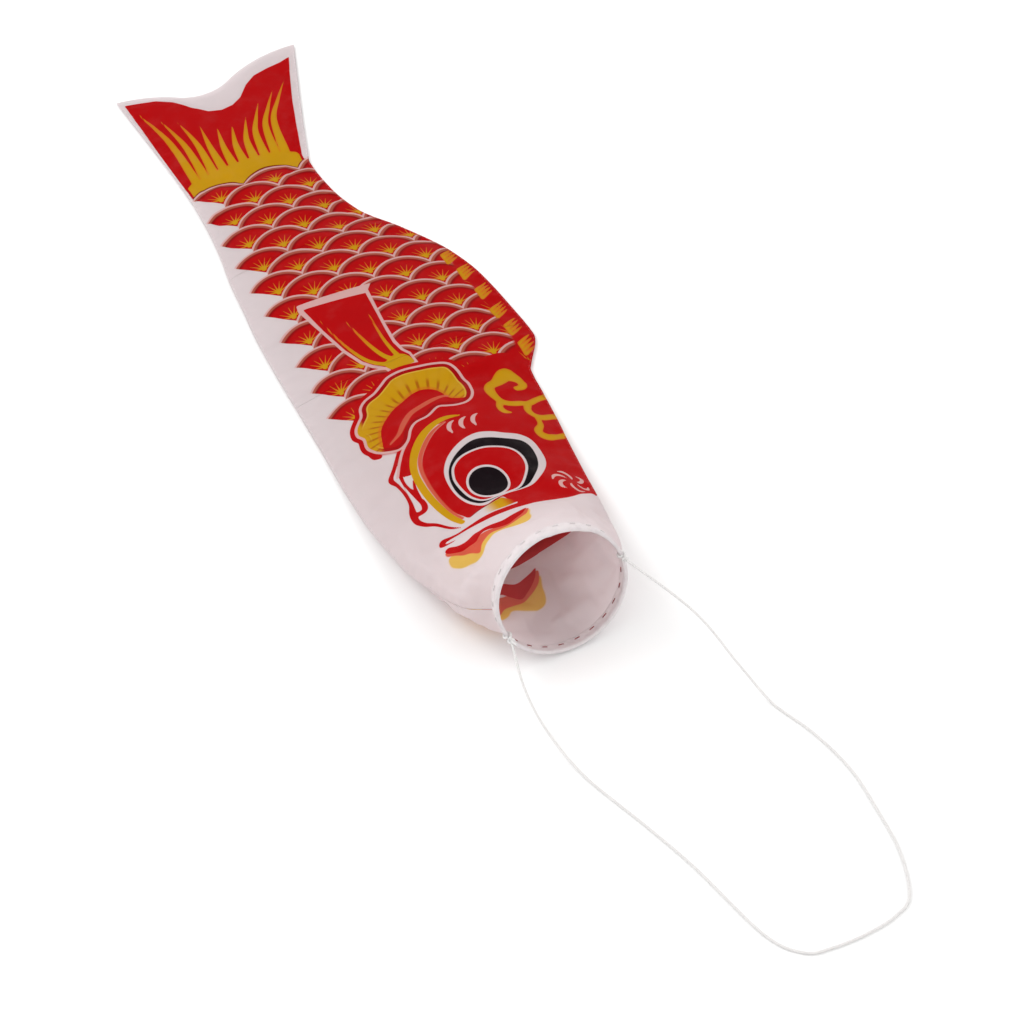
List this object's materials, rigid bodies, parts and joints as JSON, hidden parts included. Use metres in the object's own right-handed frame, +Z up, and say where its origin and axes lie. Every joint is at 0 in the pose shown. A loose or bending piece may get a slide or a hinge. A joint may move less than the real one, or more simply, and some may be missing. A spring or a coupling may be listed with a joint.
{
  "type": "carp streamer",
  "caption": "Fish-shaped cloth wind sock with printed flanks, a round hooped mouth, a forked open tail and a cord bridle to hang it by.",
  "frame": {"origin": "point of the resting plane under the lowest point of the mouth rim, the mount mouth_foot", "axes": "+Z up from the surface the streamer lies on, mouth and bridle towards -Y, tail towards +Y, +X towards the fish's back"},
  "size_m": [0.1554, 0.7788, 0.0749],
  "materials": {
    "printed_cloth": "printed polyester taffeta, red scales on white, faint satin sheen",
    "plain_cloth": "unprinted white polyester taffeta, faint satin sheen",
    "red_thread": "dark red sewing thread",
    "white_thread": "white sewing thread",
    "bridle_cord": "white twisted cord",
    "hoop_wire": "spring wire",
    "sleeve_plastic": "natural plastic tube"
  },
  "bodies": {
    "head": {"mouth_hoop": "hoop_wire", "hoop_sleeve": "sleeve_plastic", "mouth_hem": "plain_cloth", "hem_stitches": "red_thread", "dorsal_tie": "bridle_cord", "ventral_tie": "bridle_cord", "right_flank_head": "printed_cloth", "left_flank_head": "printed_cloth", "dorsal_seam_head": "white_thread", "ventral_seam_head": "white_thread"},
    "front": {"right_flank_front": "printed_cloth", "left_flank_front": "printed_cloth", "dorsal_seam_front": "white_thread", "ventral_seam_front": "white_thread"},
    "rear": {"right_flank_rear": "printed_cloth", "left_flank_rear": "printed_cloth", "dorsal_seam_rear": "white_thread", "ventral_seam_rear": "white_thread"},
    "tail": {"right_flank_tail": "printed_cloth", "left_flank_tail": "printed_cloth", "dorsal_seam_tail": "white_thread", "ventral_seam_tail": "white_thread"},
    "bridle_legs": {"dorsal_bridle_leg": "bridle_cord", "ventral_bridle_leg": "bridle_cord"},
    "bridle_loop": {"bridle_loop": "bridle_cord"}
  },
  "joints": [
    {"name": "neck_flex", "type": "hinge", "parent": "head", "child": "front", "pos_m": [0, 0.2025, 0.0065], "axis": [1, 0, 0], "range_deg": [-35, 35]},
    {"name": "waist_flex", "type": "hinge", "parent": "front", "child": "rear", "pos_m": [0, 0.3175, 0.0045], "axis": [1, 0, 0], "range_deg": [-35, 35]},
    {"name": "tail_flex", "type": "hinge", "parent": "rear", "child": "tail", "pos_m": [0, 0.4305, 0.0025], "axis": [1, 0, 0], "range_deg": [-40, 40]},
    {"name": "bridle_swing", "type": "hinge", "parent": "head", "child": "bridle_legs", "pos_m": [0.00093, 0.00397, 0.03607], "axis": [0.9563, 0.0757, 0.2824], "range_deg": [-95, 40]},
    {"name": "bridle_fold", "type": "hinge", "parent": "bridle_legs", "child": "bridle_loop", "pos_m": [0.022, -0.08, 0.00075], "axis": [1, 0, 0], "range_deg": [-75, 40]}
  ]
}
